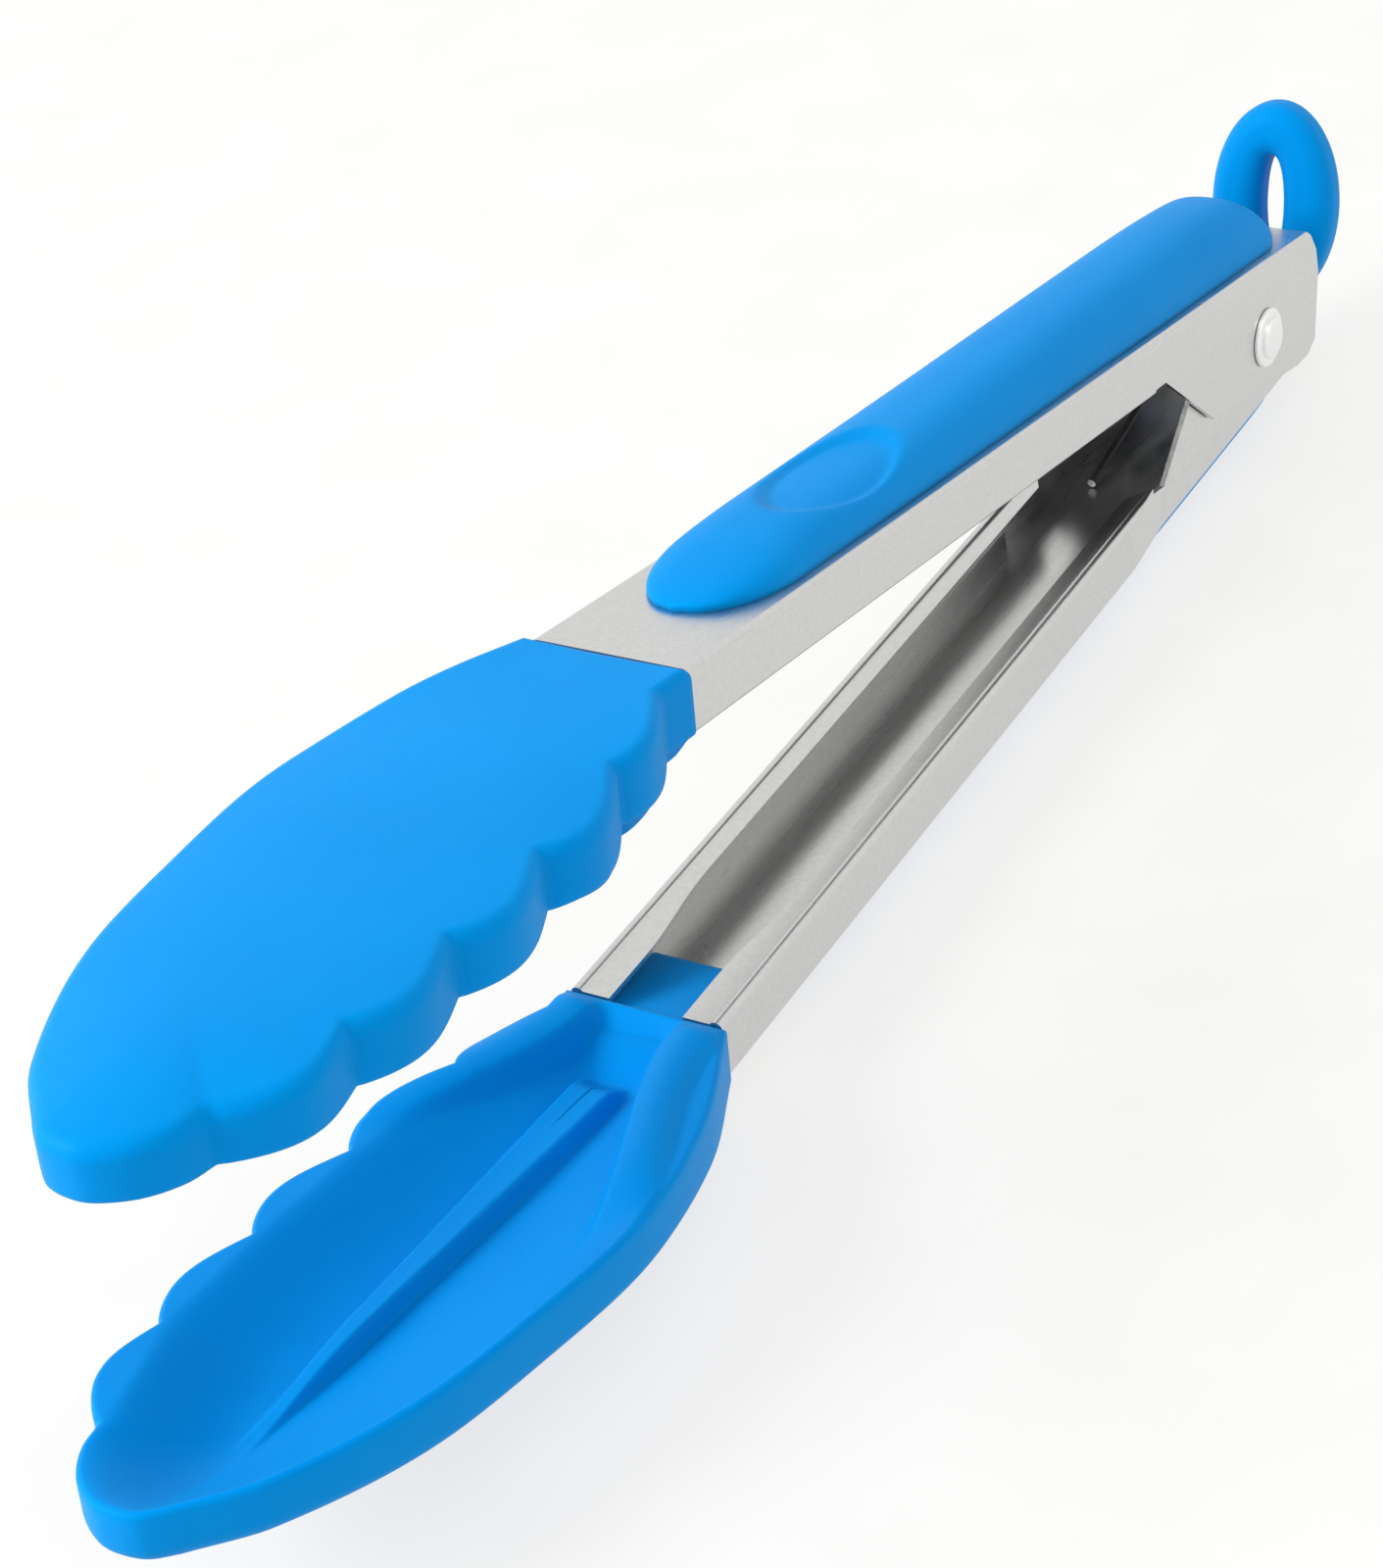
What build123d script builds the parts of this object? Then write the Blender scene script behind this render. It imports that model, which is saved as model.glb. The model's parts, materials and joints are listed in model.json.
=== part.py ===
from build123d import *
import math
import os

# Spring loaded kitchen tongs: two steel channels on a rivet, silicone scoop heads and grip pads,
# a torsion spring that opens them, and a sliding lock yoke with a pull loop at the tail.
# Each arm is drawn with the pivot at the origin, its head towards -X and its back towards +Z.
# The lower arm is then turned over about X, and the upper arm is swung open about Y.

# ---- Driving dimensions, millimetres and degrees ----
OPENING = 10.9            # angle between the two arms at rest
SHEET = 0.8               # steel thickness
BACK_Z = 12.8             # outer face of a channel's back, from the pivot axis
WALL_H = 8.6              # channel height, back to lip
HALF_W = 11.5             # half the channel's outer width
EAR_HALF_W = 10.3         # half width of the lower arm between the upper arm's ears
HEAD_END = 183.0          # pivot to the steel's head end
TAIL_END = 22.5           # pivot to the upper arm's tail
LOWER_TAIL = 15.5         # pivot to the lower arm's tail
LIP_EDGE = 7.2            # lip's inner edge from the centre line
LIP_EDGE_HEAD = 5.6       # the same where the lips widen at the head
LIP_START = 44.0          # where the lips begin, from the pivot
LIP_FLARE = (174.0, 154.0)  # stretch where the lips widen
BEAD_R = 1.0              # rolled bead along each lip's fold
BEAD_UP = 0.45            # how far the bead stands proud of the lip
FOLD_R = 1.0              # outer radius of the folds

RIVET_R = 2.5
RIVET_HEAD_R = 4.9
RIVET_HEAD_T = 0.9
RIVET_DOME = 0.8          # rise of the domed centre
RUNNING = 0.05            # radial clearance of a running fit
GAP = 0.3                 # clearance between moving pieces

HEAD_L = 108.0            # head length beyond the steel
RIM_H = 9.6               # rim to the crown of the back
CROWN_H = 3.0             # height of the domed part of the back
FLOOR_T = 3.8             # silicone over the scoop's floor
RIB_H = 2.0
UPPER_BEND = 4.7          # inward tilt of each head
LOWER_BEND = 6.4
NECK_L = 18.0             # how far the neck reaches into the channel
CORE_T = 1.4
CORE_LEVEL = RIM_H - 2.8   # rim to the core

GRIP_FRONT = 168.0        # pad ends, from the pivot
GRIP_BACK = 13.0
GRIP_HALF_W = 9.4
GRIP_T = 7.0              # upper pad's middle thickness
FLAT_HALF_W = 8.8         # lower pad, which has a flat crown
FLAT_T = 5.5
FLAT_CROWN_R = 5.0
GRIP_CORNER_R = 6.0
GRIP_CROWN_R = 4.6
GRIP_ARCH = (             # upper pad's thickness along the arm: distance towards the head, thickness
    (GRIP_FRONT, 4.9), (150, 5.6), (106, 7.0), (42, 9.2), (14, 9.8), (-4, 8.9), (-GRIP_BACK, 6.4),
)
CARRIER_FRONT = GRIP_FRONT - 12
CARRIER_BACK = GRIP_BACK - 6
CARRIER_HALF_W = 6.0
CARRIER_T = 2.2

SLEEVE_R = 3.8
COIL_R = 5.0
WIRE_R = 0.7
COIL_TURNS = 6.5
LEG_REACH = 34.0
LEG_GAP = 0.2
COIL_GAP = 0.15

SLIDE = 8.0               # travel of the lock yoke
CHEEK_OUT = 9.1           # outer face of the yoke's cheeks from the centre line
CHEEK_H = 4.2             # half height of the cheeks
YOKE_T = 0.9
YOKE_BACK = 17.4          # rear face of the yoke's web
EYE_X = 30.9              # pin that carries the loop
EYE_Z = -6.3
EYE_R = 2.8
LUG_HALF_W = 3.0
PIN_R = 1.4
PIN_L = 13.0

LOOP_HALF_W = 10.9        # loop's outer ellipse
LOOP_HALF_H = 17.4
LOOP_HOLE_HALF_W = 2.0
LOOP_HOLE_HALF_H = 8.4
LOOP_RISE = 13.4          # pin to the middle of the loop
LOOP_T = 9.0
LOOP_ROUND = 3.8
LOOP_LEAN = 10.9

LIP_Z = BACK_Z - WALL_H
WALL_TOP = LIP_Z + BEAD_R - BEAD_UP


def side_plate(points, half_width):
    """Solid of a side outline (distance towards the head, height), across the full width."""
    outline = Polyline(*[(-u, w) for u, w in points], close=True)
    face = Plane.XZ * make_face(outline)
    return extrude(face, half_width, both=True)


def plan_plate(points, low, high):
    """Solid of a half outline (distance towards the head, half width), mirrored, between two heights."""
    near = [(-u, -y) for u, y in points]
    far = [(-u, y) for u, y in reversed(points)]
    face = make_face(Polyline(*near, *far, close=True))
    return Pos(0, 0, low) * extrude(face, high - low)


def long_edges(solid, z_level):
    """The fold edges that run along the arm at one height."""
    edges = solid.edges().filter_by(lambda e: abs(e.center().Z - z_level) < 0.01 and e.length > 8)
    return edges.filter_by(lambda e: abs(e.tangent_at(0.5).X) > 0.9)


def channel(plan, side):
    """Folded channel: its plan outline gives the width, its side outline the walls and ears."""
    depth = 30.0
    inner = [(u, y - SHEET) for u, y in plan]
    inner[0] = (inner[0][0] + 5, inner[0][1])
    inner[-1] = (inner[-1][0] - 5, inner[-1][1])
    outside = plan_plate(plan, BACK_Z - depth, BACK_Z)
    outside = fillet(long_edges(outside, BACK_Z), FOLD_R)
    hollow = plan_plate(inner, BACK_Z - depth - 1, BACK_Z - SHEET)
    return (outside - hollow) & side_plate(side, HALF_W + 2)


def lips():
    """Inturned lips with a rolled bead along each fold; they widen towards the head to hold the neck."""
    outer = [(HEAD_END, HALF_W - SHEET / 2), (LIP_START, HALF_W - SHEET / 2)]
    strip = plan_plate(outer, LIP_Z, LIP_Z + SHEET)
    edge = [(HEAD_END + 1, LIP_EDGE_HEAD)]
    steps = 8
    for i in range(steps + 1):
        blend = (1 - math.cos(math.pi * i / steps)) / 2
        edge.append((LIP_FLARE[0] - i * (LIP_FLARE[0] - LIP_FLARE[1]) / steps,
                     LIP_EDGE_HEAD + blend * (LIP_EDGE - LIP_EDGE_HEAD)))
    edge += [(LIP_START + 4, LIP_EDGE), (LIP_START - 1, LIP_EDGE + 2.9)]
    lip = strip - plan_plate(edge, LIP_Z - 1, LIP_Z + SHEET + 1)
    length = HEAD_END - LIP_START
    for sign in (-1, 1):
        centre = Pos(-(HEAD_END + LIP_START) / 2, sign * (HALF_W - BEAD_R), LIP_Z + BEAD_R - BEAD_UP)
        lip += centre * Rot(0, 90, 0) * Cylinder(BEAD_R, length)
    return lip


def cross_bore(radius, x=0.0, z=0.0):
    return Pos(x, 0, z) * Rot(90, 0, 0) * Cylinder(radius, 60)


def upper_arm():
    plan = [(HEAD_END, HALF_W), (-TAIL_END, HALF_W)]
    side = [
        (HEAD_END, BACK_Z + 1), (HEAD_END, WALL_TOP), (LIP_START, WALL_TOP), (40.4, LIP_Z + 0.6),
        (20.5, -7.6), (-14.6, -9.3), (-19.4, -8.8), (-22.2, -6.8), (-TAIL_END, 5.0),
        (-21.2, 9.0), (-18.6, 12.0), (-17.0, BACK_Z + 1),
    ]
    arm = channel(plan, side) + lips()
    return arm - cross_bore(RIVET_R + RUNNING)


def lower_arm():
    plan = [(HEAD_END, HALF_W), (54, HALF_W), (41, EAR_HALF_W), (-LOWER_TAIL, EAR_HALF_W)]
    side = [
        (HEAD_END, BACK_Z + 1), (HEAD_END, WALL_TOP), (LIP_START, WALL_TOP), (39.5, LIP_Z + 1.8),
        (24.0, -6.2), (20.0, -7.4), (0.0, -7.4), (-8.0, -6.0), (-12.5, -3.0),
        (-LOWER_TAIL, 3.0), (-LOWER_TAIL, BACK_Z + 1),
    ]
    arm = channel(plan, side) + (lips() & plan_plate(plan, LIP_Z - 1, LIP_Z + 2))
    return arm - cross_bore(RIVET_R)


# ---- Heads: drawn with the steel's end at the origin, tip towards -X, rim at Z = 0 ----
def head_outline():
    """Closed outline: a scalloped edge on the -Y side, a smooth bow on the +Y side, a round tip."""
    valleys = [(6, 12.2), (22.5, 15.4), (42, 17.6), (61, 18.4), (79.5, 17.8), (97, 12.8)]
    curves = [Line((0, -12.2), (-6, -12.2))]
    for (s0, y0), (s1, y1) in zip(valleys, valleys[1:]):
        middle = (-(s0 + 0.6 * (s1 - s0)), -(y0 + 0.6 * (y1 - y0)) - 3.0)
        curves.append(ThreePointArc((-s0, -y0), middle, (-s1, -y1)))
    curves.append(Spline((-97, -12.8), (-104.5, -9.4), (-HEAD_L, -2.0), (-105.2, 3.6)))
    bow = (-105.2, 3.6), (-97, 10.8), (-80, 18.3), (-60, 22.0), (-38, 23.7), (-18, 19.8), (0, 12.2)
    curves.append(Spline(*bow))
    curves.append(Line((0, 12.2), (0, -12.2)))
    return make_face(curves)


def scoop_outline():
    """Outline of the scoop's hollow, inside the rim."""
    near = [(-8, -8.5), (-22, -12.6), (-42, -15.0), (-61, -15.6), (-79, -14.8), (-95, -10.2)]
    far = [(-104.2, -2.0), (-95, 8.2), (-78, 15.4), (-58, 19.0), (-36, 20.3), (-17, 15.4), (-8, 8.5)]
    return make_face([Spline(*near, *far), Line(far[-1], near[0])])


def neck_wedge(half_width):
    """Ramp that fills the channel's end, thin at its tail and high at the head, which it enters."""
    floor = WALL_H - SHEET - 0.01
    ramp = [(-NECK_L, floor), (-NECK_L, floor - 0.9), (0, 1.6), (4, 1.6), (4, floor)]
    outline = Polyline(*[(-u, w) for u, w in ramp], close=True)
    return extrude(Plane.XZ * make_face(outline), half_width, both=True)


def head_shell():
    outline = head_outline()
    skirt = extrude(outline, RIM_H - CROWN_H)
    crown = Pos(0, 0, RIM_H) * scale(outline, by=(0.975, 0.84, 1))
    dome = loft([Pos(0, 0, RIM_H - CROWN_H) * outline, crown], ruled=True)
    hollow = extrude(scoop_outline(), RIM_H - FLOOR_T)
    rib = Pos(-HEAD_L / 2, 0, RIM_H - FLOOR_T - RIB_H / 2) * Box(78, 4.0, RIB_H)
    return skirt + dome - hollow + rib


def head_core():
    """Stiff core inside the silicone, with the tongue that the channel's lips hold."""
    points = [(-4, -7), (-40, -11), (-88, -8), (-96, -2), (-88, 8), (-40, 13), (-4, 7)]
    blade = make_face(Polyline(*points, close=True))
    plate = Pos(0, 0, CORE_LEVEL) * extrude(blade, CORE_T)
    tongue = Pos(-1, 0, CORE_LEVEL + CORE_T / 2) * Box(30, 13, CORE_T)
    return plate + tongue


def place_head(piece, bend):
    """Tilts a head inward and sets it on the end of the channel."""
    return Pos(-HEAD_END, 0, LIP_Z) * Rot(0, -bend, 0) * piece


def head_and_core(bend):
    core = place_head(head_core(), bend)
    room_width = 2 * (HALF_W - SHEET) - 0.02
    channel_room = Pos(-HEAD_END / 2, 0, LIP_Z + WALL_H / 2) * Box(HEAD_END, room_width, WALL_H)
    outside = Pos(-HEAD_END * 1.5, 0, 0) * Box(HEAD_END, 100, 100)
    neck = Pos(-HEAD_END, 0, LIP_Z) * neck_wedge(HALF_W - SHEET - 0.01)
    floor_cut = Pos(0, 0, BACK_Z - SHEET - 0.01 + 10) * Box(2 * HEAD_END, 60, 20)
    core = (core & outside) + ((core & channel_room) - floor_cut)
    skin = (place_head(head_shell(), bend) & outside) + neck
    return skin - core, core


# ---- Grip pads ----
def carrier_plate():
    length = CARRIER_FRONT + CARRIER_BACK
    middle = -(CARRIER_FRONT - CARRIER_BACK) / 2
    return Pos(middle, 0, BACK_Z + CARRIER_T / 2) * Box(length, 2 * CARRIER_HALF_W, CARRIER_T)


def pad_plan(half_width, height):
    """Block with the pad's plan shape: a round front and softer corners at the tail."""
    length = GRIP_FRONT + GRIP_BACK
    middle = -(GRIP_FRONT - GRIP_BACK) / 2
    block = Pos(middle, 0, BACK_Z + height / 2) * Box(length, 2 * half_width, height)
    block = fillet(block.edges().filter_by(Axis.Z).group_by(Axis.X)[0], half_width - 0.6)
    return fillet(block.edges().filter_by(Axis.Z).group_by(Axis.X)[-1], GRIP_CORNER_R)


def flat_grip():
    """Lower pad, with a flat crown that the tongs rest on."""
    pad = pad_plan(FLAT_HALF_W, FLAT_T)
    crown = pad.faces().sort_by(Axis.Z)[-1].edges()
    return fillet(crown, FLAT_CROWN_R) - carrier_plate()


def arched_grip():
    """Upper pad, thin at the front and full towards the tail."""
    arch = Spline(*[(-u, BACK_Z + t) for u, t in GRIP_ARCH])
    foot = Polyline(arch @ 0, (-GRIP_FRONT, BACK_Z), (GRIP_BACK, BACK_Z), arch @ 1)
    side = extrude(Plane.XZ * make_face([arch, foot]), GRIP_HALF_W + 1, both=True)
    pad = pad_plan(GRIP_HALF_W, 2 * GRIP_T) & side
    crown = pad.faces().sort_by(Axis.Z)[-1].edges()
    return fillet(crown, GRIP_CROWN_R) - carrier_plate()


# ---- Pivot ----
def pivot_rivet():
    reach = HALF_W + 0.1
    rivet = Rot(90, 0, 0) * Cylinder(RIVET_R, 2 * reach + 0.4)
    for sign in (-1, 1):
        face = sign * (reach + RIVET_HEAD_T)
        disc = Pos(0, sign * (reach + RIVET_HEAD_T / 2), 0) * Rot(90, 0, 0) * Cylinder(RIVET_HEAD_R, RIVET_HEAD_T)
        rim = disc.edges().filter_by(lambda e: abs(e.center().Y - face) < 0.01)
        button = Pos(0, face, 0) * Rot(90, 0, 0) * Cylinder(RIVET_R + 0.9, 2 * RIVET_DOME)
        edge = button.edges().filter_by(lambda e: abs(e.center().Y - face - sign * RIVET_DOME) < 0.01)
        rivet += fillet(rim, RIVET_HEAD_T * 0.7) + fillet(edge, RIVET_DOME * 0.9)
    return rivet


def spring_sleeve():
    tube = Rot(90, 0, 0) * Cylinder(SLEEVE_R, 2 * (CHEEK_OUT - YOKE_T - GAP))
    return tube - cross_bore(RIVET_R)


def torsion_spring():
    """Coil round the sleeve, with one leg on the floor of each channel."""
    pitch = 2 * WIRE_R + COIL_GAP
    width = pitch * COIL_TURNS
    helix = Rot(0, 90, 0) * Pos(0, width / 2, 0) * Rot(90, 0, 0) * Helix(pitch, width, COIL_R)
    start = helix @ 0
    end = helix @ 1
    coil = sweep(Plane(origin=start, z_dir=helix % 0) * Circle(WIRE_R), path=helix, is_frenet=True)
    return coil, start, end


def spring_leg(start, toward):
    run = toward - start
    return Plane(origin=start, z_dir=run) * extrude(Circle(WIRE_R), run.length)


# ---- Lock yoke and pull loop ----
def lock_slider():
    cheek_mid = CHEEK_OUT - YOKE_T / 2
    front = -(SLIDE + RIVET_R + 3.5)
    length = YOKE_BACK - front
    yoke = Part()
    for sign in (-1, 1):
        yoke += Pos(front + length / 2, sign * cheek_mid, 0) * Box(length, YOKE_T, 2 * CHEEK_H)
    yoke += Pos(YOKE_BACK - YOKE_T / 2, 0, 0) * Box(YOKE_T, 2 * CHEEK_OUT, 2 * CHEEK_H)
    slot_r = RIVET_R + GAP
    slot = Pos(-SLIDE / 2, 0, 0) * Box(SLIDE, 40, 2 * slot_r) + cross_bore(slot_r) + cross_bore(slot_r, x=-SLIDE)
    web_x = YOKE_BACK - YOKE_T
    lug = side_plate([(-web_x, -CHEEK_H), (-web_x, -0.5), (-EYE_X, EYE_Z + EYE_R - 0.2),
                      (-EYE_X, EYE_Z - EYE_R)], LUG_HALF_W)
    eye = Pos(EYE_X, 0, EYE_Z) * Rot(90, 0, 0) * Cylinder(EYE_R, 2 * LUG_HALF_W)
    return yoke - slot + lug + eye - cross_bore(PIN_R, x=EYE_X, z=EYE_Z)


def loop_pin():
    return Pos(EYE_X, 0, EYE_Z) * Rot(90, 0, 0) * Cylinder(PIN_R, PIN_L)


def pull_loop():
    """Thick oval ring of nearly round section, with a fork at its foot that straddles the yoke's eye."""
    outer = Plane.YZ * Pos(0, LOOP_RISE) * Ellipse(LOOP_HALF_W, LOOP_HALF_H)
    hole = Plane.YZ * Pos(0, LOOP_RISE) * Ellipse(LOOP_HOLE_HALF_W, LOOP_HOLE_HALF_H)
    loop = extrude(outer, LOOP_T / 2, both=True)
    loop = fillet(loop.edges(), LOOP_ROUND) - extrude(hole, LOOP_T, both=True)
    hole_edges = loop.edges().filter_by(lambda e: e.bounding_box().size.Y < 2 * LOOP_HOLE_HALF_W + 0.5)
    loop = fillet(hole_edges, LOOP_ROUND)
    fork_top = EYE_R + GAP
    fork = Pos(0, 0, fork_top - 10) * Box(20, 2 * (LUG_HALF_W + GAP), 20)
    loop = loop - fork - cross_bore(PIN_R + RUNNING)
    return Pos(EYE_X, 0, EYE_Z) * Rot(0, LOOP_LEAN, 0) * loop


# ---- Assembly ----
def opened(piece):
    return Rot(0, OPENING, 0) * piece


def turned_over(piece):
    return Rot(180, 0, 0) * piece


def assemble():
    upper_skin, upper_core = head_and_core(UPPER_BEND)
    lower_skin, lower_core = head_and_core(LOWER_BEND)
    coil, coil_start, coil_end = torsion_spring()
    leg_z = BACK_Z - SHEET - WIRE_R - LEG_GAP
    low_end = Vector(-LEG_REACH, coil_start.Y, -leg_z)
    high_end = opened(Pos(-LEG_REACH, coil_end.Y, leg_z)).position
    spring = coil + spring_leg(coil_start, low_end) + spring_leg(coil_end, high_end)
    return {
        "upper_arm": opened(upper_arm()),
        "lower_arm": turned_over(lower_arm()),
        "upper_head": opened(upper_skin),
        "lower_head": turned_over(lower_skin),
        "upper_head_core": opened(upper_core),
        "lower_head_core": turned_over(lower_core),
        "upper_grip": opened(arched_grip()),
        "lower_grip": turned_over(flat_grip()),
        "upper_grip_carrier": opened(carrier_plate()),
        "lower_grip_carrier": turned_over(carrier_plate()),
        "pivot_rivet": pivot_rivet(),
        "spring_sleeve": spring_sleeve(),
        "torsion_spring": spring,
        "lock_slider": lock_slider(),
        "loop_pin": loop_pin(),
        "pull_loop": pull_loop(),
    }


def main():
    nodes = assemble()
    box = Compound(list(nodes.values())).bounding_box()
    base = Pos(-box.center().X, -box.center().Y, -box.min.Z)
    os.makedirs("parts", exist_ok=True)
    for name, piece in nodes.items():
        export_step(base * piece, f"parts/{name}.step")
    pivot = base.position
    print("pivot axis at", round(pivot.X, 3), round(pivot.Y, 3), round(pivot.Z, 3))
    print("size", [round(v, 2) for v in (box.size.X, box.size.Y, box.size.Z)])


if __name__ == "__main__":
    main()
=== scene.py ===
import json
import math
import bmesh
import bpy
from mathutils import Euler, Matrix, Vector


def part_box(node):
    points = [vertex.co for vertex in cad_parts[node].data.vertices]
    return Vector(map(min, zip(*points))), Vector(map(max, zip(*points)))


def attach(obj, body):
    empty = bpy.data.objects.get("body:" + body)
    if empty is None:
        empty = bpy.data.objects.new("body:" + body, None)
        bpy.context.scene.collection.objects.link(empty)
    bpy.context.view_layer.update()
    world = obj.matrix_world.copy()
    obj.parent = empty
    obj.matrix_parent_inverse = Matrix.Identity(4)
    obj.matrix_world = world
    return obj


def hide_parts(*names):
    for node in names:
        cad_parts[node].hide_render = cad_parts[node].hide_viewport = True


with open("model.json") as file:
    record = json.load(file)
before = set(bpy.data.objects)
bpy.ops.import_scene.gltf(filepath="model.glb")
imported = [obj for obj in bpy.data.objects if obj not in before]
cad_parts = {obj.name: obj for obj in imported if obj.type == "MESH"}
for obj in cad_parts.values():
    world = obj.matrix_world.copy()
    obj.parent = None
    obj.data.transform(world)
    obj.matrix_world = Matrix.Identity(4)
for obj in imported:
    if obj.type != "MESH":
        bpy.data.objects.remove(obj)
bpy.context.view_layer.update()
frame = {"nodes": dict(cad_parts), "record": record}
MM = 0.001

# ---- Places taken from the frame, in metres ----
JOINTS = {joint["name"]: joint for joint in frame["record"]["behaviour"]["joints"]}
PIVOT = Vector(JOINTS["arm_pivot"]["pos_m"])
LOOP_PIN = Vector(JOINTS["loop_swing"]["pos_m"])
ARM_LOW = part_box("lower_arm")[0]
HEAD_END = (PIVOT.x - ARM_LOW[0]) / MM          # pivot to the steel's head end, in millimetres
BACK = (PIVOT.z - ARM_LOW[2]) / MM              # pivot to the channel's back
GRIP_LOW, GRIP_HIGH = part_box("lower_grip")
GRIP_FRONT = (PIVOT.x - GRIP_LOW[0]) / MM
GRIP_TAIL = (GRIP_HIGH[0] - PIVOT.x) / MM
GRIP_T = (GRIP_HIGH[2] - GRIP_LOW[2]) / MM
UPPER_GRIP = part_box("upper_grip")
GRIP_HALF_W = {
    "lower": (GRIP_HIGH[1] - GRIP_LOW[1]) / 2 / MM,
    "upper": (UPPER_GRIP[1][1] - UPPER_GRIP[0][1]) / 2 / MM,
}

# ---- Sizes of the soft pieces, in millimetres and degrees ----
OPENING = 10.9                                  # angle between the arms
HEAD_BEND = {"upper": 4.7, "lower": 6.4}         # inward tilt of each head
CHANNEL_H = 8.6                                 # back to lip plane
LIP = BACK - CHANNEL_H
SHEET = 0.8                                     # steel thickness
HEAD_L = 108.0
SKIRT = 7.6                                     # height of the scalloped skirt
CROWN = 9.5                                     # height of the head's crown
TIP_DROP = 0.8                                  # how much lower the skirt is at the tip
SHOULDER_R = 1.7                                # round between the back and the skirt
RIM_R = 0.8                                     # round on the rim
RIM_INNER = RIM_R + 0.1                         # rim to the start of the scooped inside
DISH = 6.2                                      # depth of the scoop
RIDGE = 2.4                                     # height of the ridge down the scoop
CHEEK = 1.5                                     # height of the cheeks beside the neck
DIMPLE_DEPTH = 1.1
FOOT = 0.7                                      # lip of the pad on the steel


# ---------------------------------------------------------------- helpers
def smooth(x, low=0.0, high=1.0):
    """Smooth step from 0 at low to 1 at high."""
    x = min(1.0, max(0.0, (x - low) / (high - low)))
    return x * x * (3 - 2 * x)


def mix(a, b, t):
    return a + (b - a) * t


def curve_at(points, x):
    """Smooth value at x through (x, value) points, by cubic Hermite spans."""
    if x <= points[0][0]:
        return points[0][1]
    if x >= points[-1][0]:
        return points[-1][1]
    for i in range(len(points) - 1):
        x0, y0 = points[i]
        x1, y1 = points[i + 1]
        if x <= x1:
            break
    before = points[max(i - 1, 0)]
    after = points[min(i + 2, len(points) - 1)]
    m0 = (y1 - before[1]) / (x1 - before[0]) * (x1 - x0)
    m1 = (after[1] - y0) / (after[0] - x0) * (x1 - x0)
    t = (x - x0) / (x1 - x0)
    return ((2 * t**3 - 3 * t**2 + 1) * y0 + (t**3 - 2 * t**2 + t) * m0
            + (-2 * t**3 + 3 * t**2) * y1 + (t**3 - t**2) * m1)


def arm_point(side, u, y, w):
    """World point of arm coordinates: u towards the head, y across, w outward, in millimetres."""
    if side == "upper":
        point = Euler((0, math.radians(OPENING), 0)).to_matrix() @ Vector((-u, y, w))
    else:
        point = Vector((-u, -y, -w))
    return PIVOT + point * MM


def head_point(side, s, y, o):
    """World point of head coordinates: s along the head, y across, o outward from the rim."""
    bend = math.radians(HEAD_BEND[side])
    u = HEAD_END + s * math.cos(bend) + o * math.sin(bend)
    w = LIP - s * math.sin(bend) + o * math.cos(bend)
    return arm_point(side, u, y, w)


def mesh_piece(name, verts, faces, material, body, node=None):
    """Makes a smooth mesh piece that rides on a body and may stand for a CAD node."""
    mesh = bpy.data.meshes.new(name)
    mesh.from_pydata([tuple(v) for v in verts], [], faces)
    mesh.update()
    for polygon in mesh.polygons:
        polygon.use_smooth = True
    piece = bpy.data.objects.new(name, mesh)
    bpy.context.scene.collection.objects.link(piece)
    mesh.materials.append(material)
    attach(piece, body)
    if node:
        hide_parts(node)
    return piece


# ---------------------------------------------------------------- materials
def new_material(name):
    material = bpy.data.materials.new(name)
    material.use_nodes = True
    nodes = material.node_tree.nodes
    shader = nodes["Principled BSDF"]
    return material, nodes, material.node_tree.links, shader


def noise(nodes, links, scale, detail=4.0, stretch=(1, 1, 1)):
    """Object-space noise, optionally stretched."""
    place = nodes.new("ShaderNodeTexCoord")
    mapping = nodes.new("ShaderNodeMapping")
    mapping.inputs["Scale"].default_value = stretch
    texture = nodes.new("ShaderNodeTexNoise")
    texture.inputs["Scale"].default_value = scale
    texture.inputs["Detail"].default_value = detail
    links.new(place.outputs["Object"], mapping.inputs["Vector"])
    links.new(mapping.outputs["Vector"], texture.inputs["Vector"])
    return texture


def ramp(nodes, links, source, stops):
    """Colour ramp on a texture's factor; stops are (position, colour)."""
    node = nodes.new("ShaderNodeValToRGB")
    elements = node.color_ramp.elements
    while len(elements) < len(stops):
        elements.new(0.5)
    for element, (position, colour) in zip(elements, stops):
        element.position = position
        element.color = (*colour, 1)
    links.new(source, node.inputs["Fac"])
    return node


def add_bump(nodes, links, shader, height, strength, distance):
    bump = nodes.new("ShaderNodeBump")
    bump.inputs["Strength"].default_value = strength
    bump.inputs["Distance"].default_value = distance
    links.new(height, bump.inputs["Height"])
    links.new(bump.outputs["Normal"], shader.inputs["Normal"])


def silicone():
    material, nodes, links, shader = new_material("blue_silicone")
    shader.inputs["Specular IOR Level"].default_value = 0.08
    shader.inputs["Specular Tint"].default_value = (0.12, 0.65, 1.0, 1)
    shader.inputs["Subsurface Weight"].default_value = 0.12
    shader.inputs["Subsurface Radius"].default_value = (0.1, 0.5, 1.0)
    shader.inputs["Subsurface Scale"].default_value = 0.004
    cloud = noise(nodes, links, 45, 3)
    tone = ramp(nodes, links, cloud.outputs["Fac"], [(0.3, (0.0, 0.215, 0.58)), (0.75, (0.0, 0.230, 0.61))])
    links.new(tone.outputs["Color"], shader.inputs["Base Color"])
    grain = noise(nodes, links, 1800, 4)
    gloss = ramp(nodes, links, grain.outputs["Fac"], [(0.3, (0.44, 0.44, 0.44)), (0.7, (0.54, 0.54, 0.54))])
    links.new(gloss.outputs["Color"], shader.inputs["Roughness"])
    add_bump(nodes, links, shader, grain.outputs["Fac"], 0.08, 0.0002)
    return material


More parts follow.
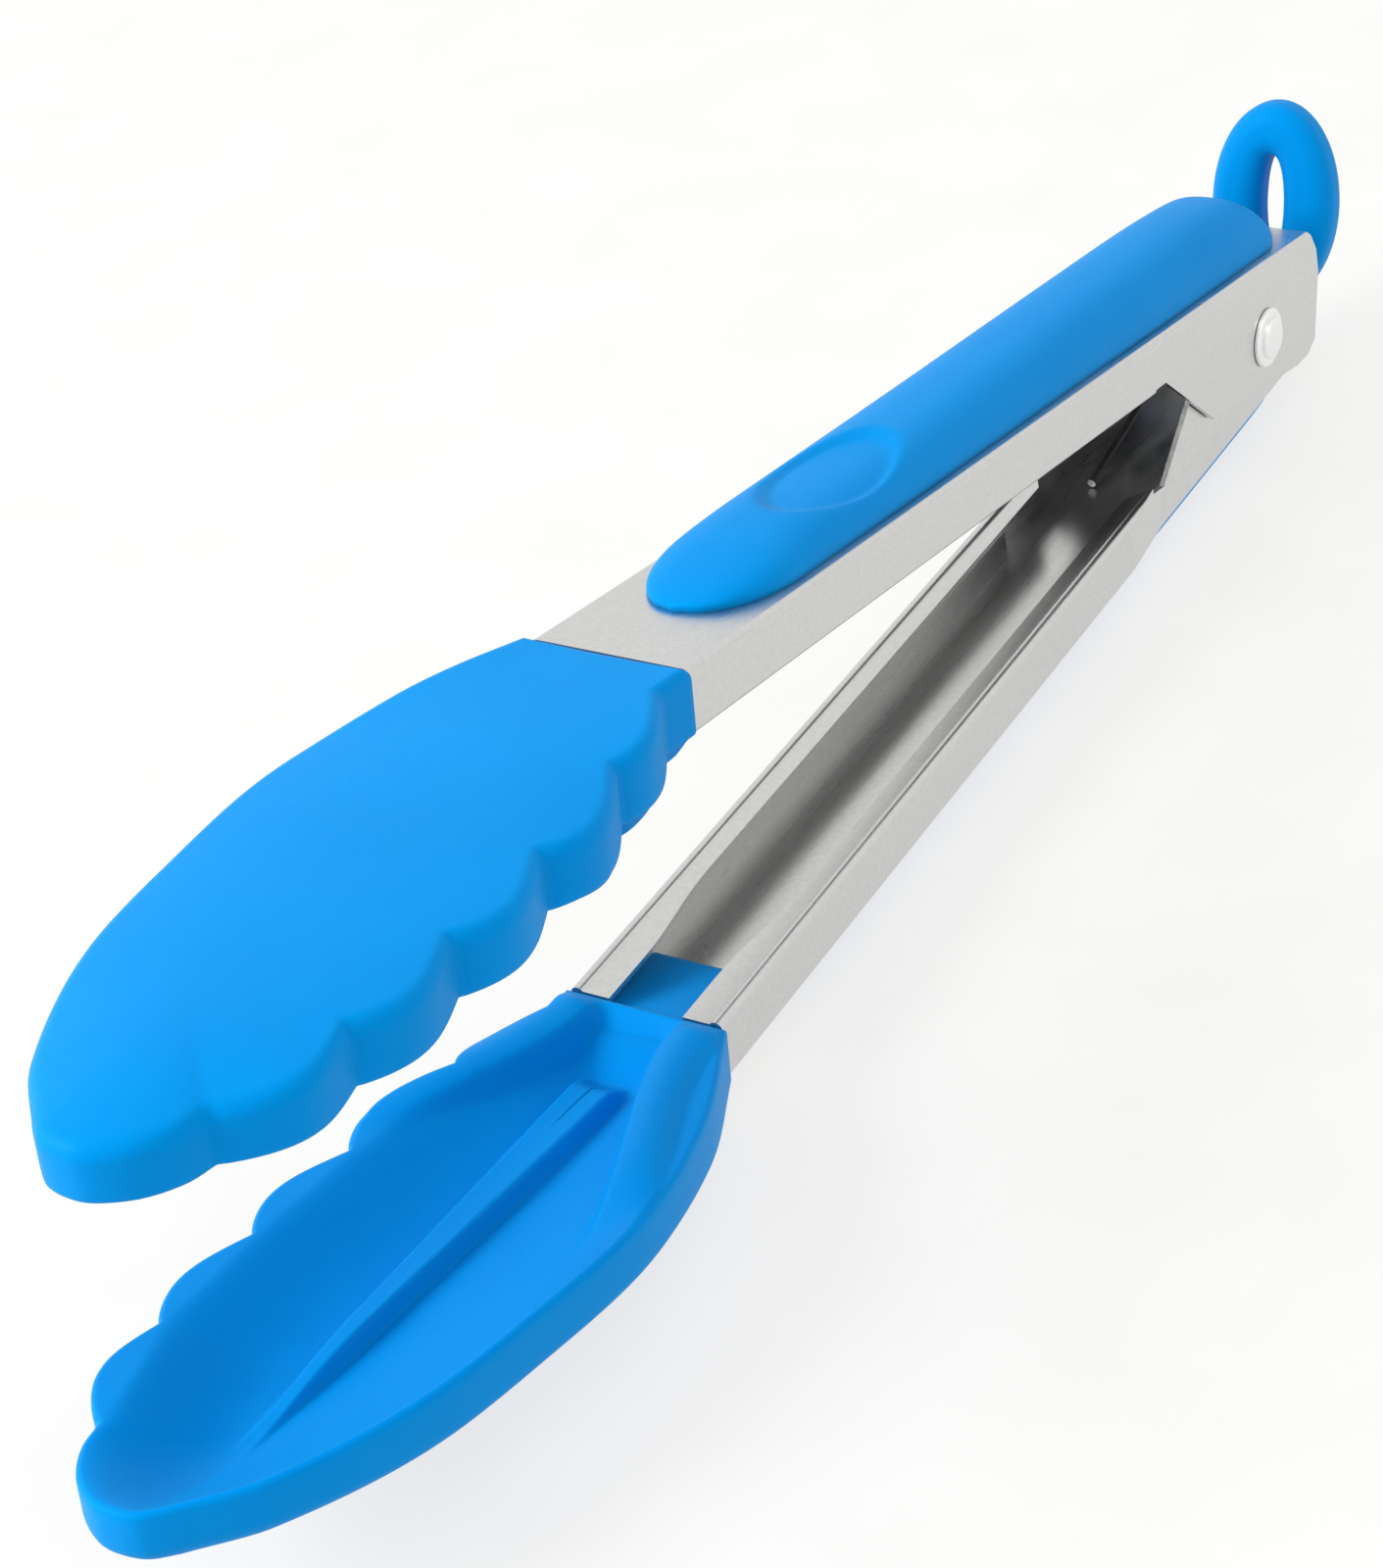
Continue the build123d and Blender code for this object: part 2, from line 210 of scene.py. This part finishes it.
def steel(name, tone, rough):
    """Satin stamped stainless: a fine speckle, with faint rolling lines along the arm."""
    material, nodes, links, shader = new_material(name)
    shader.inputs["Metallic"].default_value = 1.0
    speckle = noise(nodes, links, 1300, 6)
    lines = noise(nodes, links, 260, 3, (0.06, 1, 1))
    low = tuple(0.94 * c for c in tone)
    colour = ramp(nodes, links, speckle.outputs["Fac"], [(0.35, low), (0.62, tone)])
    links.new(colour.outputs["Color"], shader.inputs["Base Color"])
    gloss = ramp(nodes, links, lines.outputs["Fac"], [(0.3, (rough,) * 3), (0.7, (rough + 0.1,) * 3)])
    links.new(gloss.outputs["Color"], shader.inputs["Roughness"])
    add_bump(nodes, links, shader, speckle.outputs["Fac"], 0.05, 0.0001)
    return material


def bright_steel():
    material, nodes, links, shader = new_material("bright_steel")
    shader.inputs["Metallic"].default_value = 1.0
    shader.inputs["Base Color"].default_value = (0.86, 0.86, 0.86, 1)
    grain = noise(nodes, links, 700, 4)
    gloss = ramp(nodes, links, grain.outputs["Fac"], [(0.3, (0.34,) * 3), (0.7, (0.36,) * 3)])
    links.new(gloss.outputs["Color"], shader.inputs["Roughness"])
    return material


def spring_wire():
    material, nodes, links, shader = new_material("spring_wire")
    shader.inputs["Metallic"].default_value = 1.0
    grain = noise(nodes, links, 900, 4)
    tone = ramp(nodes, links, grain.outputs["Fac"], [(0.3, (0.30,) * 3), (0.7, (0.42,) * 3)])
    links.new(tone.outputs["Color"], shader.inputs["Base Color"])
    shader.inputs["Roughness"].default_value = 0.3
    return material


def nylon():
    material, nodes, links, shader = new_material("dark_nylon")
    grain = noise(nodes, links, 600, 5)
    tone = ramp(nodes, links, grain.outputs["Fac"], [(0.3, (0.01, 0.06, 0.2)), (0.7, (0.015, 0.08, 0.26))])
    links.new(tone.outputs["Color"], shader.inputs["Base Color"])
    shader.inputs["Roughness"].default_value = 0.5
    add_bump(nodes, links, shader, grain.outputs["Fac"], 0.15, 0.0002)
    return material


SILICONE = silicone()
STEEL = steel("satin_steel", (0.64, 0.64, 0.635), 0.22)
CAD_MATERIALS = {
    "upper_arm": STEEL,
    "lower_arm": STEEL,
    "lock_slider": STEEL,
    "pivot_rivet": bright_steel(),
    "torsion_spring": spring_wire(),
    "pull_loop": SILICONE,
}
CAD_MATERIALS["loop_pin"] = CAD_MATERIALS["pivot_rivet"]
NYLON = nylon()


def dress_cad():
    """Gives each CAD node that shows its own finish."""
    for name, node in frame["nodes"].items():
        material = CAD_MATERIALS.get(name, NYLON)
        if not node.material_slots:
            node.data.materials.append(material)
        for place in node.material_slots:
            place.material = material


# ---------------------------------------------------------------- heads
VALLEYS = [(0, 12.2), (6, 11.6), (22.5, 15.4), (42, 17.6), (61, 18.3), (79.5, 17.9), (97, 12.8)]
LOBES = [0.0, 2.4, 3.6, 3.2, 3.0, 3.8]          # how far each lobe stands out beyond its chord
ENVELOPE = 3.3
BOW = [(0, 12.2), (18, 19.8), (38, 23.7), (60, 22.0), (80, 18.3), (97, 10.8), (105.2, 3.6)]
TIP = [(97, -12.8), (101, -11.9), (105, -9.2), (107.6, -5.2), (HEAD_L, -2.0), (107.3, 1.0), (105.2, 3.6)]


def scalloped_edge(step=0.75):
    """Scalloped side, from the neck to the last valley: (s, y, room out to the envelope, lobe)."""
    points = []
    for (s0, y0), (s1, y1), lobe in zip(VALLEYS, VALLEYS[1:], LOBES):
        count = max(2, round((s1 - s0) / step))
        for i in range(count):
            t = i / count
            out = lobe * math.sin(math.pi * t**1.2) ** 0.85
            along = mix(s0, s1, t)
            room = ENVELOPE * smooth(along, 0, 10) * (1 - smooth(along, 88, 101))
            points.append((along, -mix(y0, y1, t) - out, max(0.0, room - out), out))
    return points


def tip_edge(count=26):
    """Round tip, from the last valley over the end to the start of the smooth side."""
    points = []
    for i in range(count):
        t = i / count * (len(TIP) - 1)
        points.append((curve_at([(k, p[0]) for k, p in enumerate(TIP)], t),
                       curve_at([(k, p[1]) for k, p in enumerate(TIP)], t), 0.0, 0.0))
    return points


def smooth_edge(count=110):
    """Smooth bowed side, from the tip back to the neck."""
    stations = [105.2 * (1 - i / count) for i in range(count + 1)]
    return [(s, curve_at(BOW, s), 0.0, 0.0) for s in stations]


def neck_edge(count=24):
    """Straight end against the steel."""
    return [(0.0, mix(12.2, -12.2, i / count), 0.0, 0.0) for i in range(1, count)]


def head_edge():
    return scalloped_edge() + tip_edge() + smooth_edge() + neck_edge()


def spine_place(s):
    """Place on the head's centre line that an edge point is drawn in towards."""
    return mix(9.0, 86.0, smooth(s, -14, 112))


def back_height(s, fraction):
    """Height of the head's back at a fraction of the way from the centre line to the edge."""
    neck = 1 - smooth(s, 4, 34)
    edge = mix(SKIRT, CROWN, neck) - TIP_DROP * smooth(s, 72, 100)
    return mix(CROWN, edge, fraction**2.4)


def floor_depth(s, y, fraction):
    """Depth of the scoop's inside below the rim: a deep dish, cheeks at the neck, a ridge down the middle."""
    soft = mix(0.95, 1.5, smooth(-y, -4, 9))
    dish = DISH * (1 - min(1.0, fraction) ** 2) ** soft
    inner = mix(5.2, 17.5, smooth(s, 2, 48))
    beside = smooth(abs(y), inner - 1.1, inner + 1.3) * (1 - smooth(s, 32, 48))
    crest = math.sin(math.pi * min(1.0, max(0.0, (abs(y) - inner) / 8.0))) ** 0.8
    dish = mix(dish, -CHEEK * crest * smooth(s, 0, 4) * (1 - smooth(s, 24, 44)), beside)
    half = mix(3.5, 0.9, smooth(s, 6, 92))
    ridge = (1 - smooth(abs(y), half * 0.7, half + 0.6)) * smooth(s, 9, 15) * (1 - smooth(s, 66, 92))
    dish -= RIDGE * ridge
    return mix(min(dish, 2.2), dish, smooth(s, 1.0, 12.0))


def build_head(side):
    """Closed silicone head: rounded back, skirt, rolled rim and scooped inside, as rings round the edge."""
    edge = head_edge()
    count = len(edge)
    verts = []

    def add_ring(fraction_at, height_of):
        """Ring at a fraction of each point's reach; heights use the fractions of envelope and valley line."""
        for s, y, room, lobe in edge:
            centre = spine_place(s)
            reach = math.hypot(s - centre, y)
            fraction = fraction_at(reach)
            whole = fraction * reach / (reach + room)
            valley = fraction * reach / (reach - lobe - RIM_INNER)
            ps, py = mix(centre, s, fraction), y * fraction
            verts.append(head_point(side, ps, py, height_of(ps, py, whole, valley)))

    for k in range(1, 23):                       # back, from the centre out
        add_ring(lambda reach: k / 22 * (1 - (SHOULDER_R + 0.5) / reach),
                 lambda s, y, f, v: back_height(s, f))
    for k in range(7):                           # rounded shoulder
        angle = math.pi / 2 * k / 6
        inset = SHOULDER_R * (1 - math.sin(angle))
        drop = SHOULDER_R * (1 - math.cos(angle))
        add_ring(lambda reach: 1 - inset / reach, lambda s, y, f, v: back_height(s, f) - drop)
    for k in range(1, 4):                        # skirt down to the rim
        add_ring(lambda reach: 1.0, lambda s, y, f, v: mix(back_height(s, f) - SHOULDER_R, RIM_R, k / 4))
    for k in range(5):                           # rolled rim
        angle = math.pi / 2 * k / 4
        inset = RIM_R * (1 - math.cos(angle))
        add_ring(lambda reach: 1 - inset / reach, lambda s, y, f, v: RIM_R * (1 - math.sin(angle)))
    for k in range(48):                          # scooped inside, back to the centre
        part = (1 - k / 48) ** 1.15
        add_ring(lambda reach: (1 - RIM_INNER / reach) * part, lambda s, y, f, v: floor_depth(s, y, v))
    rings = len(verts) // count

    faces = []
    for r in range(rings - 1):
        for i in range(count):
            j = (i + 1) % count
            a, b = r * count + i, r * count + j
            faces.append((a, b, b + count, a + count))
    add_centre_fan(verts, faces, 0, count, True)
    add_centre_fan(verts, faces, (rings - 1) * count, count, False)
    return mesh_piece(f"{side}_head_skin", verts, faces, SILICONE, side, node=f"{side}_head")


def add_centre_fan(verts, faces, first, count, reverse):
    """Closes a ring that has shrunk to the centre line with quads across the line."""
    half = count // 2
    ring = [first + i for i in range(count)]
    for i in range(half - 1):
        a, b = ring[i], ring[i + 1]
        c, d = ring[count - 2 - i], ring[count - 1 - i]
        quad = (a, d, c, b) if reverse else (a, b, c, d)
        if len(set(quad)) == 4:
            faces.append(quad)


def build_neck(side):
    """Blue neck that fills the end of the channel: a ramp that rises to the head."""
    half = 10.6
    stations = [(-17.9, 0.9), (-17.2, 1.3), (-16, 1.7), (-12, 2.6),
                (-7, 4.0), (-2.6, 5.3), (-0.6, 5.7), (0.6, 5.7)]
    floor = BACK - SHEET - 0.05
    verts = []
    across = [-half, -half, -half + 0.5, -5, 0, 5, half - 0.5, half, half]
    for s, high in stations:
        for k, y in enumerate(across):
            w = floor if k in (0, len(across) - 1) else floor - high
            w += 0.35 if k in (1, len(across) - 2) else 0
            verts.append(arm_point(side, HEAD_END + s, y, w))
    n = len(across)
    faces = []
    for r in range(len(stations) - 1):
        for i in range(n):
            j = (i + 1) % n
            faces.append((r * n + i, r * n + j, (r + 1) * n + j, (r + 1) * n + i))
    faces.append(tuple(range(n - 1, -1, -1)))
    faces.append(tuple(range((len(stations) - 1) * n, len(stations) * n)))
    return mesh_piece(f"{side}_neck", verts, faces, SILICONE, side)


# ---------------------------------------------------------------- grips
DIMPLE = (128.5, -1.0)                          # middle of the thumb rest: distance to the pivot, across
# Thickness of the upper pad: (distance to the pivot, height).
ARCH = [(-13, 6.4), (-4, 8.9), (14, 9.8), (42, 9.2), (106, 7.0), (150, 5.6), (168, 4.9)]


def grip_half_width(side, u):
    """Half width of the pad at u."""
    full = GRIP_HALF_W[side]
    nose, tail = 17.0, 9.0
    if u > GRIP_FRONT - nose:
        x = min(1.0, (u - (GRIP_FRONT - nose)) / nose)
        return full * (1 - x**2.1) ** 0.5
    if u < -GRIP_TAIL + tail:
        x = min(1.0, (-GRIP_TAIL + tail - u) / tail)
        return full * (1 - x**2.6) ** 0.42
    return full


def grip_height(side, u):
    """Crown height of the pad at u: arched on the upper arm, flat on the lower one."""
    full = curve_at(ARCH, u) if side == "upper" else GRIP_T
    nose_rise = max(0.0, min(1.0, (GRIP_FRONT - u) / 30.0))
    tail_rise = max(0.0, min(1.0, (u + GRIP_TAIL) / 15.0))
    rise = (1 - (1 - nose_rise) ** 2.4) ** 0.8 * (1 - (1 - tail_rise) ** 2.2) ** 0.6
    return FOOT + (full - FOOT - 0.05) * rise


def dimple(u, y):
    """Oval thumb rest, pressed into the crown towards the far side."""
    a = ((u - DIMPLE[0]) / 15.5) ** 2 + ((y - DIMPLE[1]) / 7.0) ** 2
    return DIMPLE_DEPTH * (1 - smooth(a, 0.70, 1.05))


def build_grip(side):
    """Crowned silicone pad with a foot lip, seated on the steel's back."""
    rows = 150
    across = 40
    low, high = -GRIP_TAIL, GRIP_FRONT
    verts = []
    profile = [-math.cos(math.pi * j / across) for j in range(across + 1)]
    for i in range(rows + 1):
        t = i / rows
        u = mix(low, high, (1 - math.cos(math.pi * t)) / 2 * 0.35 + t * 0.65)
        half = max(0.05, grip_half_width(side, u))
        crown = grip_height(side, u)
        verts.append(arm_point(side, u, -half, BACK + 0.01))
        for q in profile:
            y = half * q
            edge = (1 - abs(q) ** 2.6) ** 0.5
            h = FOOT + (crown - FOOT) * edge
            h -= dimple(u, y) * (1 if edge > 0.3 else 0)
            verts.append(arm_point(side, u, y, BACK + h))
        verts.append(arm_point(side, u, half, BACK + 0.01))
    n = across + 3
    faces = []
    for r in range(rows):
        for k in range(n):
            j = (k + 1) % n
            faces.append((r * n + k, r * n + j, (r + 1) * n + j, (r + 1) * n + k))
    faces.append(tuple(range(n - 1, -1, -1)))
    faces.append(tuple(range(rows * n, rows * n + n)))
    return mesh_piece(f"{side}_grip_pad", verts, faces, SILICONE, side, node=f"{side}_grip")


def outward(piece):
    """Makes a closed mesh's faces point outward."""
    work = bmesh.new()
    work.from_mesh(piece.data)
    bmesh.ops.recalc_face_normals(work, faces=work.faces)
    work.to_mesh(piece.data)
    work.free()


# ---------------------------------------------------------------- camera, light and floor
CAMERA_FROM_PIVOT = Vector((-0.4645, -0.2128, 0.2711))
HEADING = math.radians(35.35)
ELEVATION = math.radians(-34.43)
ROLL = math.radians(-9.53)
LENS = 79.0


def add_camera():
    data = bpy.data.cameras.new("camera")
    data.lens = LENS
    data.sensor_width = 36.0
    data.clip_start = 0.01
    data.clip_end = 20.0
    camera = bpy.data.objects.new("camera", data)
    forward = Vector((math.cos(ELEVATION) * math.cos(HEADING), math.cos(ELEVATION) * math.sin(HEADING),
                      math.sin(ELEVATION)))
    level = forward.cross(Vector((0, 0, 1))).normalized()
    above = level.cross(forward)
    right = level * math.cos(ROLL) + above * math.sin(ROLL)
    up = right.cross(forward)
    turn = Matrix((right, up, -forward)).transposed().to_4x4()
    camera.matrix_world = Matrix.Translation(PIVOT + CAMERA_FROM_PIVOT) @ turn
    bpy.context.scene.collection.objects.link(camera)
    bpy.context.scene.camera = camera


def add_light(name, place, target, size, power):
    data = bpy.data.lights.new(name, "AREA")
    data.shape = "DISK"
    data.size = size
    data.energy = power
    light = bpy.data.objects.new(name, data)
    light.location = place
    light.rotation_euler = (Vector(target) - Vector(place)).to_track_quat("-Z", "Y").to_euler()
    bpy.context.scene.collection.objects.link(light)


def add_stage():
    """Plain pale floor, soft light from the upper left, and an even pale surround."""
    mesh = bpy.data.meshes.new("floor")
    reach = 6.0
    mesh.from_pydata([(-reach, -reach, 0), (reach, -reach, 0), (reach, reach, 0), (-reach, reach, 0)], [],
                     [(0, 1, 2, 3)])
    floor = bpy.data.objects.new("floor", mesh)
    floor.location.z = -0.0005
    bpy.context.scene.collection.objects.link(floor)
    material, nodes, links, shader = new_material("pale_floor")
    shader.inputs["Roughness"].default_value = 0.8
    shader.inputs["Specular IOR Level"].default_value = 0.1
    paper = noise(nodes, links, 40, 3)
    tone = ramp(nodes, links, paper.outputs["Fac"], [(0.3, (0.16, 0.16, 0.158)), (0.7, (0.18, 0.18, 0.178))])
    links.new(tone.outputs["Color"], shader.inputs["Base Color"])
    shader.inputs["Emission Color"].default_value = (1.0, 0.992, 0.98, 1)
    shader.inputs["Emission Strength"].default_value = 0.74
    mesh.materials.append(material)
    target = PIVOT + Vector((-0.1, 0, 0.02))
    add_light("key", PIVOT + Vector((-0.80, 0.62, 0.62)), target, 0.5, 11.0)
    add_light("fill", PIVOT + Vector((-0.2, -0.5, 1.0)), target, 0.6, 1.0)
    world = bpy.data.worlds.new("surround")
    world.use_nodes = True
    nodes = world.node_tree.nodes
    links = world.node_tree.links
    split = nodes.new("ShaderNodeSeparateXYZ")
    links.new(nodes.new("ShaderNodeTexCoord").outputs["Generated"], split.inputs["Vector"])
    sky = ramp(nodes, links, split.outputs["Z"],
               [(0.0, (0.9, 0.9, 0.89)), (0.22, (1.0, 1.0, 0.99))])
    links.new(sky.outputs["Color"], nodes["Background"].inputs["Color"])
    nodes["Background"].inputs["Strength"].default_value = 1.0
    bpy.context.scene.world = world
    bpy.context.scene.view_settings.view_transform = "Standard"


dress_cad()
for arm in ("upper", "lower"):
    for soft in (build_head(arm), build_neck(arm), build_grip(arm)):
        outward(soft)
add_camera()
add_stage()
